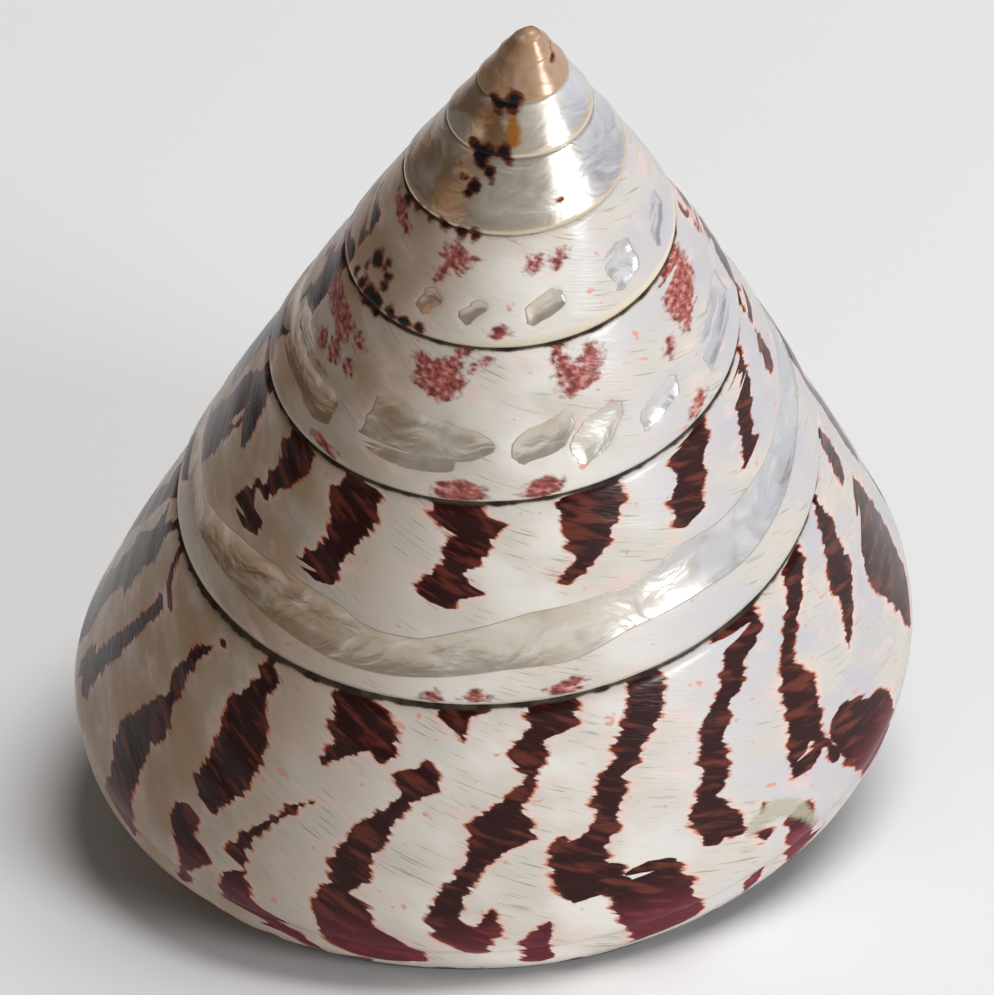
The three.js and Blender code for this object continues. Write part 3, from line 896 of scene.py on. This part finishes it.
def attribute(tree, name):  # as a vector and as its three values
    vector = addNode(tree, "ShaderNodeAttribute", "Vector", {}, attribute_name=name)
    split = addNode(tree, "ShaderNodeSeparateXYZ", 0, {0: vector}).socket.node
    return vector, *map(Wire, split.outputs)


def grain(vector, name):
    sizes, detail, shift, distortion = patterns[name]
    scale = [1 / size for size in sizes] + [0] * (3 - len(sizes))
    inputs = {"Vector": vectorCalc("MULTIPLY_ADD", vector, scale, [shift] * 3),
              "Scale": 1, "Detail": detail, "Distortion": distortion}
    return addNode(vector.tree, "ShaderNodeTexNoise", "Fac", inputs)


def curves(value, steps, *heights):  # up to three curves over the same steps
    made = addNode(value.tree, "ShaderNodeVectorCurve", "Vector", {"Vector": value})
    mapping = made.socket.node.mapping
    mapping.use_clip = False
    mapping.extend = "HORIZONTAL"
    for curve, spots in zip(mapping.curves, (*heights, np.zeros_like(steps))):
        curve.points[0].location = steps[0], spots[0]
        curve.points[1].location = steps[-1], spots[-1]
        for step, height in zip(steps[1:-1], spots[1:-1]):
            curve.points.new(step, height)
        for point in curve.points:
            point.handle_type = "AUTO_CLAMPED"
    mapping.update()
    return made


def newGroup(name):
    return bpy.data.node_groups.new(name, "ShaderNodeTree")


def closeGroup(tree, **outputs):
    for name in outputs:
        tree.interface.new_socket(name, in_out="OUTPUT", socket_type="NodeSocketFloat")
    end = tree.nodes.new("NodeGroupOutput")
    for name, value in outputs.items():
        feed(end.inputs[name], value)
    return tree


def useGroup(tree, group):
    node = tree.nodes.new("ShaderNodeGroup")
    node.node_tree = group
    return [Wire(socket) for socket in node.outputs]


# groups that tell how deep a place lies inside a mark, in mm

def insideCurves(value, at, trace):  # half a mark's width less the way to its middle, plus 1
    steps, centres, halves = trace
    off = vectorCalc("SUBTRACT", curves(value, steps, centres, halves + 1), at)
    return vectorCalc("DOT_PRODUCT", vectorCalc("ABSOLUTE", off), (-1, 1, 0))


def marksGroup(name, traces):
    tree = newGroup(name)
    _, own, share, girth = attribute(tree, "growth")
    shares, at = together(share, share, share), together(own, 0, 0)
    deepest = 0
    for trace in traces:
        deepest = calc("MAXIMUM", deepest, insideCurves(shares, at, trace))
    return closeGroup(tree, Depth=(deepest - 1) * girth)


def spotsGroup(name, places):
    tree = newGroup(name)
    here = vectorCalc("DIVIDE", objectPlace(tree), (mm, mm, mm))
    deepest = markEdges["noSpot"]
    for x, y, radius in places:
        away = vectorCalc("DISTANCE", here, lookAt(x, y)[0] / mm)
        deepest = calc("MAXIMUM", deepest, radius * view["distance"] / shellMap["focal"] - away)
    return closeGroup(tree, Depth=deepest)


def bandGroup():
    tree = newGroup("pearlBand")
    _, own, share, _ = attribute(tree, "growth")
    depth = insideCurves(together(own, own, own), together(share, 0, 0), bandTrace)
    (last, first), fade = pearlBand["behind"], pearlBand["fade"]
    inside = rise(own, first, first + fade) * rise(own, last, last - fade)
    return closeGroup(tree, Depth=(depth + inside - 2) * pearlBand["side"])


# the side that the photograph hides carries flames of the same kind
hidden = {
    "perTurn": 24, "perTurnGrows": 4, "slant": 0.05, "wander": 0.5, "width": (0.1, 0.34),
    "breaks": 0.5, "breakLevel": 0.47, "onBase": (1.12, 1.02), "earliest": (-3.3, -2.9),
    "visible": [(-0.29, 0.24), (-1.27, -0.76), (-2.26, -1.77), (-3.2, -2.78)], "edge": 0.015,
}


def hiddenGroup():
    h, tree = hidden, newGroup("hiddenFlames")
    growth, own, share, girth = attribute(tree, "growth")
    phase = own - share * h["slant"]
    cells = scaled(phase, h["perTurn"], phase * phase * h["perTurnGrows"])
    cells = scaled(grain(growth, "wander"), h["wander"] * 2, cells)
    chance = addNode(tree, "ShaderNodeTexWhiteNoise", "Value", {}, noise_dimensions="1D")
    feed(chance.socket.node.inputs["W"], calc("FLOOR", cells))
    off = calc("ABSOLUTE", calc("FRACT", cells) - 0.5)
    low, high = h["width"]
    gaps = grain(attribute(tree, "lines")[0], "gaps") - h["breakLevel"]
    half = scaled(chance, high - low, low) + gaps * (h["breaks"] * 2)
    depth = (half - off) * (girth / h["perTurn"])
    seen = 0
    for first, last in h["visible"]:
        begun = rise(own, first - h["edge"], first + h["edge"])
        seen = calc("MAXIMUM", seen, begun * rise(own, last + h["edge"], last - h["edge"]))
    unseen = (1 - seen * rise(share, *h["onBase"])) * rise(own, *h["earliest"])
    return closeGroup(tree, Depth=depth, Hidden=unseen)


# whiteShadeLeft, whiteShadeRight, pearlShadeLeft and pearlShadeRight are painted shade for the shell's
# left and right sides
finish = {
    "white": (0.7, 0.655, 0.59), "whiteShadeLeft": (0.37, 0.25, 0.155), "whiteShadeRight": (0.42, 0.4, 0.42),
    "whiteDull": (0.52, 0.47, 0.4), "growthLine": (0.3, 0.28, 0.2), "pinkFleck": (0.62, 0.25, 0.19),
    "pinkHaze": (0.7, 0.47, 0.41), "fringe": (0.48, 0.13, 0.045), "scar": (0.36, 0.34, 0.24),
    "flameDark": (0.024, 0.005, 0.005), "flameMaroon": (0.11, 0.024, 0.015),
    "plum": (0.17, 0.026, 0.04), "blotch": (0.3, 0.085, 0.07), "blotchDark": (0.15, 0.035, 0.03),
    "blotchPale": (0.5, 0.22, 0.18), "pearl": (0.6, 0.53, 0.43), "pearlShadeLeft": (0.38, 0.25, 0.15),
    "pearlShadeRight": (0.5, 0.5, 0.53), "pearlPale": (0.78, 0.75, 0.68), "pearlDark": (0.34, 0.25, 0.17),
    "rim": (0.62, 0.52, 0.38), "tan": (0.34, 0.18, 0.085), "tanDark": (0.28, 0.14, 0.07),
    "stain": (0.5, 0.2, 0.04), "stainPale": (0.25, 0.11, 0.03), "grime": (0.014, 0.01, 0.012),
    "grimeEdge": (0.13, 0.03, 0.012), "seamGrey": (0.075, 0.055, 0.035),
    "seamDark": (0.025, 0.016, 0.012), "mouth": (0.6, 0.55, 0.48), "mouthCool": (0.66, 0.66, 0.64),
}
# noise: sizes in mm across and along the growth lines, or in m in space, then detail, shift and
# distortion
patterns = {
    "streaks": ((0.9, 5), 3, 0, 0), "fine": ((0.22, 2.2), 2, 5.1, 0), "patches": ((5, 9), 2, 9.7, 0),
    "haze": ((2.4, 5), 2, 41, 0), "scratches": ((0.2, 5), 1, 5.1, 0), "flecks": ((0.9, 1.6), 1, 21.3, 0),
    "mottle": ((0.5, 0.9), 3, 0, 0), "sheen": ((2.5, 2.5), 1, 13, 0), "gaps": ((7, 5), 1, 3.3, 0),
    "wander": ((0.09, 0.35), 2, 0, 0), "clouds": ((0.005, 0.005, 0.003), 3, 2.2, 0.8),
    "worn": ((0.0016, 0.0016, 0.0012), 3, 6.6, 0), "seamNoise": ((0.0022, 0.0022, 0.0022), 3, 31, 0),
    "specks": ((0.0018, 0.0018, 0.0011), 3, 17, 0), "mouth": ((0.008, 0.008, 0.008), 2, 4.4, 0.5),
}
# where an effect starts and where it is full, then what it goes from and to where that isn't 0 and 1
ramps = {
    # shadeToLeft and shadeToRight set where the painted side shade begins and where it is full
    "shadeToLeft": (0.05, 0.95), "shadeToRight": (-0.05, -0.95), "dull": (0.35, 0.7, 0, 0.8),
    "haze": (0.55, 0.75, 0, 0.5), "scratches": (0.62, 0.7, 0, 0.8), "scratched": (0.45, 0.58),
    "flecks": (0.7, 0.78, 0, 0.8), "glow": (-1.4, -0.1, 0, 0.5), "glowing": (0.4, 0.6),
    "fringe": (-0.4, -0.05, 0, 0.85), "fringed": (0.42, 0.55), "feet": (0.78, 1),
    "darkFeet": (0.78, 1, 0, 0.6), "light": (0.48, 0.66), "lightEdge": (0.4, 0.05),
    "flame": (-0.08, 0.12), "blotchDark": (0.48, 0.66), "blotchPale": (0.5, 0.34),
    "blotch": (-0.9, 0.5), "pearlPale": (0.45, 0.7, 0, 0.45), "pearlDark": (0.5, 0.75, 0, 0.3),
    "tanPale": (0.55, 0.85), "tanDark": (0.42, 0.3), "tip": (-5.1, -6, 0, 0.8),
    "stain": (-0.5, 0.4), "stainPale": (-0.4, 0.5, 0, 0.8), "seamWidth": (-0.1, 0.2, 0.3, 0.55),
    "seamBegins": (-3.1, -2.7), "seamDarkening": (-0.1, 0.12), "seamDarkPatches": (0.4, 0.65),
    "allPearl": (-3.42, -3.5, -2, 2), "pearl": (0, 0.1), "edgeShadeOutside": (-0.12, 0.02, 0, 0.5),
    "edgeShadeInside": (0.22, 0.06), "metal": (-6, -4.6, 0.12, 0.6), "rim": (1.3, 0.7, 0, 0.8),
    "rimBegins": (-2.6, -3.1), "grimeEdge": (-0.5, 0.1), "grime": (0.05, 0.35),
    "gritty": (-0.2, 0.2), "scar": (-0.2, 0.5), "mouthCool": (0.3, 0.7),
    "mouthRough": (0.2, 0.8, 0.22, 0.32),
}
surface = {
    "raggedStreaks": 2.6, "raggedFine": 0.6, "raggedShift": -1.6, "blotchRagged": 3,
    "stainRagged": 1.6, "grimeRagged": 2.8, "grimeLevel": 0.53, "scarRagged": 0.9,
    "outsideHidden": -3, "seamUneven": (1.6, 0.2), "underSeam": 1.6, "openSeam": (0.05, 5),
    "openSeamOver": 0.04, "scarShare": 0.8, "roughness": 0.16, "roughPatches": 0.2,
    "roughDirtAndShade": 0.4, "streakRelief": 0.6, "fineRelief": 0.5, "scarRelief": 3, "cloudRelief": 3.5,
    "bump": {"Strength": 0.45, "Distance": 0.00014},
    "gloss": {"IOR": 1.24, "Coat Weight": 0.1, "Coat Roughness": 0.06},
    "mouthGloss": {"Coat Weight": 0.4, "Coat Roughness": 0.1},
}


def newMaterial(name):
    material = bpy.data.materials.new(name)
    material.use_nodes = True
    tree = material.node_tree
    return material, tree, tree.nodes["Principled BSDF"]


def setInputs(node, values):
    for name, value in values.items():
        node.inputs[name].default_value = value


# the outside is three materials of one recipe, each with the marks of its own part of the coil
whorlParts = {"lastWhorl": (-0.5, 1), "bandedWhorl": (-1.5, -0.5), "upperWhorls": (-9, -1.5)}
allTraces = {name: [traceMark(places) for places in marks.values()] for name, marks in
             (("flames", {**flames, **limbFlames}), ("blotches", blotches),
              ("pearlWindows", pearlWindows))}
bandTrace = traceBand()
sharedGroups = {"band": bandGroup(), "hidden": hiddenGroup()}


def depthOf(tree, kind, part):
    low, high = whorlParts[part]
    traces = [trace for trace in allTraces[kind] if low <= np.median(trace[1]) < high]
    if not traces:
        return markEdges["noMark"]
    return useGroup(tree, marksGroup(kind + part[0].upper() + part[1:], traces))[0]


def paintedSideShade(own, right, front, left):  # painted shade: a colour that changes across the shell from right to left, darker and cool on the right, darker and warm on the left, as the light falls
    turned = calc("SINE", own * (2 * math.pi))
    colour = blend(ramp(turned, "shadeToLeft"), finish[front], finish[left])
    return tint(colour, ramp(turned, "shadeToRight"), right)


def paleGround(own, lines, patches):  # with its grey growth lines and pink flecks
    # painted shade: the white ground darkens and warms to the left and darkens and cools to the right
    white = paintedSideShade(own, "whiteShadeRight", "white", "whiteShadeLeft")
    white = tint(white, ramp(patches, "dull"), "whiteDull")
    white = tint(white, ramp(grain(lines, "haze"), "haze"), "pinkHaze")
    scratches = ramp(grain(lines, "scratches"), "scratches") * ramp(patches, "scratched")
    white = tint(white, scratches, "growthLine")
    return tint(white, ramp(grain(lines, "flecks"), "flecks"), "pinkFleck")


def addFlames(colour, part, share, streaks, patches, ragged):  # an orange fringe and plum feet
    f = finish
    behind, unseen = useGroup(share.tree, sharedGroups["hidden"])
    depth = scaled(behind, unseen, (1 - unseen) * surface["outsideHidden"])
    depth = ragged + calc("MAXIMUM", depth, depthOf(share.tree, "flames", part))
    colour = tint(colour, ramp(depth, "glow") * ramp(patches, "glowing"), "pinkHaze")
    colour = tint(colour, ramp(depth, "fringe") * ramp(streaks, "fringed"), "fringe")
    maroon = blend(ramp(share, "feet"), f["flameMaroon"], f["plum"])
    dark = blend(ramp(share, "darkFeet"), f["flameDark"], f["plum"])
    lightness = calc("MAXIMUM", ramp(streaks, "light"), ramp(depth, "lightEdge"))
    return blend(ramp(depth, "flame"), colour, blend(lightness, dark, maroon))


def addBlotches(colour, part, lines):  # soft and red, on the upper whorls
    mottle = grain(lines, "mottle")
    depth = scaled(mottle - 0.5, surface["blotchRagged"], depthOf(lines.tree, "blotches", part))
    blotch = blend(ramp(mottle, "blotchDark"), finish["blotch"], finish["blotchDark"])
    blotch = tint(blotch, ramp(mottle, "blotchPale"), "blotchPale")
    return blend(ramp(depth, "blotch"), colour, blotch)


def addPearl(colour, part, own, lines, clouds):  # where the outer layer is ground away
    depth = depthOf(own.tree, "pearlWindows", part)
    depth = calc("MAXIMUM", depth, useGroup(own.tree, sharedGroups["band"])[0])
    if part == "upperWhorls":
        depth = calc("MAXIMUM", depth, ramp(own, "allPearl"))
    inPearl = ramp(depth, "pearl")
    # painted shade: the pearl darkens and warms to the left and darkens and cools to the right
    pearl = paintedSideShade(own, "pearlShadeRight", "pearl", "pearlShadeLeft")
    pearl = tint(pearl, ramp(clouds, "pearlPale"), "pearlPale")
    pearl = tint(pearl, ramp(grain(lines, "sheen"), "pearlDark"), "pearlDark")
    # painted shadow: a darker line along the edges of the windows and the band, where the surface steps
    # down
    lip = ramp(depth, "edgeShadeOutside") * ramp(depth, "edgeShadeInside")
    return inPearl, tint(blend(inPearl, colour, pearl), lip, "pearlDark")


def addTip(colour, own, place):  # tan and worn at the tip, stained below it
    worn = grain(place, "worn")
    tan = blend(ramp(worn, "tanPale"), finish["tan"], finish["rim"])
    tan = tint(tan, ramp(worn, "tanDark"), "tanDark")
    colour = blend(ramp(own, "tip"), colour, tan)
    uneven = scaled(worn, surface["stainRagged"], -surface["stainRagged"] / 2)
    for name, colourName in (("weak", "stainPale"), ("strong", "stain")):
        depth = useGroup(own.tree, spotsGroup(name + "Stain", stain[name]))[0]
        colour = tint(colour, ramp(depth + uneven, colourName), colourName)
    return colour


def addGrime(colour, place):  # dark specks along the upper seams
    spots = [spot for spots in grime.values() for spot in spots]
    depth = useGroup(place.tree, spotsGroup("grime", spots))[0]
    specks = grain(place, "specks") - surface["grimeLevel"]
    depth = scaled(specks, surface["grimeRagged"], depth)
    for name in ("grimeEdge", "grime"):
        colour = tint(colour, ramp(depth, name), name)
    return colour, ramp(depth, "gritty")


# dirt and painted shade: a dark line along the seam above and below each whorl, uneven in width, none on
# the base
def seamDirtAndShade(own, fromTop, fromLow, base, seamNoise):
    s, lip = surface, coil["lipTurn"]
    width = ramp(own, "seamWidth") * ramp(own, "seamBegins") * scaled(seamNoise, *s["seamUneven"])
    free = rise(own, lip - 1 - s["openSeamOver"], lip - 1, *s["openSeam"])
    nearSeam = calc("MINIMUM", fromTop, scaled(fromLow, s["underSeam"], free))
    return ramp(width - nearSeam, "seamDarkening") * (1 - base)


def shellMaterial(part):
    s = surface
    material, tree, shader = newMaterial(part)
    _, own, share, _ = attribute(tree, "growth")
    _, fromTop, fromLow, base = attribute(tree, "edges")
    lines, place = attribute(tree, "lines")[0], objectPlace(tree)
    streaks, fine, patches = (grain(lines, name) for name in ("streaks", "fine", "patches"))
    clouds, seamNoise = grain(place, "clouds"), grain(place, "seamNoise")
    ragged = scaled(streaks, s["raggedStreaks"], scaled(fine, s["raggedFine"], s["raggedShift"]))
    colour = paleGround(own, lines, patches)
    colour = addFlames(colour, part, share, streaks, patches, ragged)
    relief = streaks * s["streakRelief"] + fine * s["fineRelief"]
    if part != "lastWhorl":
        colour = addBlotches(colour, part, lines)
        inPearl, colour = addPearl(colour, part, own, lines, clouds)
        colour = tint(colour, ramp(fromLow, "rim") * ramp(own, "rimBegins"), "rim")
        feed(shader.inputs["Metallic"], inPearl * ramp(own, "metal"))
        relief = scaled(clouds * inPearl, s["cloudRelief"], relief * (1 - inPearl))
    # dirt and painted shade along the seams
    dirtAndShade = seamDirtAndShade(own, fromTop, fromLow, base, seamNoise)
    seamDarkening = blend(ramp(seamNoise, "seamDarkPatches"), finish["seamGrey"], finish["seamDark"])
    colour = blend(dirtAndShade, colour, seamDarkening)
    if part == "upperWhorls":
        colour, gritty = addGrime(addTip(colour, own, place), place)
        dirtAndShade = calc("MAXIMUM", dirtAndShade, gritty)
    if part == "lastWhorl":
        scar = useGroup(tree, spotsGroup("healedScar", healedScar))[0]
        scar = ramp(scaled(fine, s["scarRagged"], scar), "scar")
        colour = tint(colour, scar * s["scarShare"], "scar")
        relief = scaled(scar, s["scarRelief"], relief)
    feed(shader.inputs["Base Color"], colour)
    rough = scaled(patches, s["roughPatches"], s["roughness"])
    feed(shader.inputs["Roughness"], scaled(dirtAndShade, s["roughDirtAndShade"], rough))
    setInputs(shader, s["gloss"])
    bump = tree.nodes.new("ShaderNodeBump")
    setInputs(bump, s["bump"])
    feed(bump.inputs["Height"], relief)
    feed(shader.inputs["Normal"], Wire(bump.outputs["Normal"]))
    return material


def pearlMaterial():
    material, tree, shader = newMaterial("mouthPearl")
    clouds = grain(objectPlace(tree), "mouth")
    colour = blend(ramp(clouds, "mouthCool"), finish["mouth"], finish["mouthCool"])
    feed(shader.inputs["Base Color"], colour)
    feed(shader.inputs["Roughness"], ramp(clouds, "mouthRough"))
    setInputs(shader, surface["mouthGloss"])
    return material


leastGirth = 0.1  # the hollow and the pillar have none


def dressShell():
    shell.data.materials.clear()
    for part in whorlParts:
        shell.data.materials.append(shellMaterial(part))
    shell.data.materials.append(pearlMaterial())
    growth = shell.data.attributes["growth"].data
    for face in shell.data.polygons:
        own, _, girth = growth[face.loop_start].vector
        parts = [i for i, (low, high) in enumerate(whorlParts.values()) if low <= own < high]
        face.material_index = parts[0] if girth > leastGirth else len(whorlParts)


# the pearl shows where the outer layer was ground away, so the surface lies a little lower there
ground = {"depth": 0.28, "slope": (-0.3, 0.8)}


def groundDepth(own, share, girth):  # mm inside the nearest window or the band, negative outside
    deepest = np.full_like(own, ground["slope"][0])
    for shares, centres, halves in allTraces["pearlWindows"]:
        half, centre = np.interp(share, shares, halves), np.interp(share, shares, centres)
        deepest = np.maximum(deepest, (half - np.abs(own - centre)) * girth)
    turns, middles, halves = bandTrace
    half, middle = np.interp(own, turns, halves), np.interp(own, turns, middles)
    inBand = (half - np.abs(share - middle)) * pearlBand["side"]
    return np.where((own > turns[0]) & (own < turns[-1]), np.maximum(deepest, inBand), deepest)


def grindPearl():
    mesh = shell.data
    growth, corners = np.zeros(len(mesh.loops) * 3), np.zeros(len(mesh.loops), dtype=int)
    mesh.attributes["growth"].data.foreach_get("vector", growth)
    mesh.loops.foreach_get("vertex_index", corners)
    own, share, girth = growth.reshape(-1, 3).T
    sunk = smoothStep(groundDepth(own, share, girth), *ground["slope"]) * (girth > 1)
    sink = np.zeros(len(mesh.vertices))
    np.maximum.at(sink, corners, sunk)
    for corner in np.nonzero(sink)[0]:
        vertex = mesh.vertices[corner]
        vertex.co -= vertex.normal * sink[corner] * ground["depth"] * mm


grindPearl()
dressShell()
print("shell dressed")


# floor and soft studio light

studio = {
    "floorSize": 6, "floorColour": (0.9, 0.9, 0.9), "floorRoughness": 0.9, "world": 0.08,
    "key": {"at": (0.85, -0.15, 0.9), "size": 0.42, "watts": 12.5, "colour": (0.93, 0.96, 1)},
    "fill": {"at": (-1, 0.2, 0.4), "size": 0.6, "watts": 0.6, "colour": (1, 0.6, 0.35)},
    "top": {"at": (0.45, 1.3, 0.62), "size": 1.2, "watts": 19, "colour": (1, 1, 1)},
}


def makeFloor():
    bm = bmesh.new()
    bmesh.ops.create_grid(bm, x_segments=1, y_segments=1, size=studio["floorSize"] / 2)
    floor = newPiece(bm, "floor")
    material, _, shader = newMaterial("paleFloor")
    feed(shader.inputs["Base Color"], studio["floorColour"])
    shader.inputs["Roughness"].default_value = studio["floorRoughness"]
    floor.data.materials.append(material)


def makeLight(name, facts):
    right, up, forward = cameraAxes()
    middle = rest @ Vector(view["aimAt"]) * mm
    x, y, z = facts["at"]
    data = bpy.data.lights.new(name, "AREA")
    data.shape, data.size = "DISK", facts["size"]
    data.energy, data.color = facts["watts"], facts["colour"]
    lamp = bpy.data.objects.new(name, data)
    lamp.location = middle + right * x + up * y - forward * z
    lamp.rotation_euler = (middle - lamp.location).to_track_quat("-Z", "Y").to_euler()
    bpy.context.collection.objects.link(lamp)


def makeWorld():
    world = bpy.data.worlds.new("studio")
    world.use_nodes = True
    setInputs(world.node_tree.nodes["Background"], {"Color": (1, 1, 1, 1), "Strength": studio["world"]})
    bpy.context.scene.world = world


makeFloor()
for lamp in ("key", "fill", "top"):
    makeLight(lamp + "Light", studio[lamp])
makeWorld()
bpy.context.scene.view_settings.view_transform = "Standard"
print("lights placed")

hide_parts("top_shell")
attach(shell, "root")
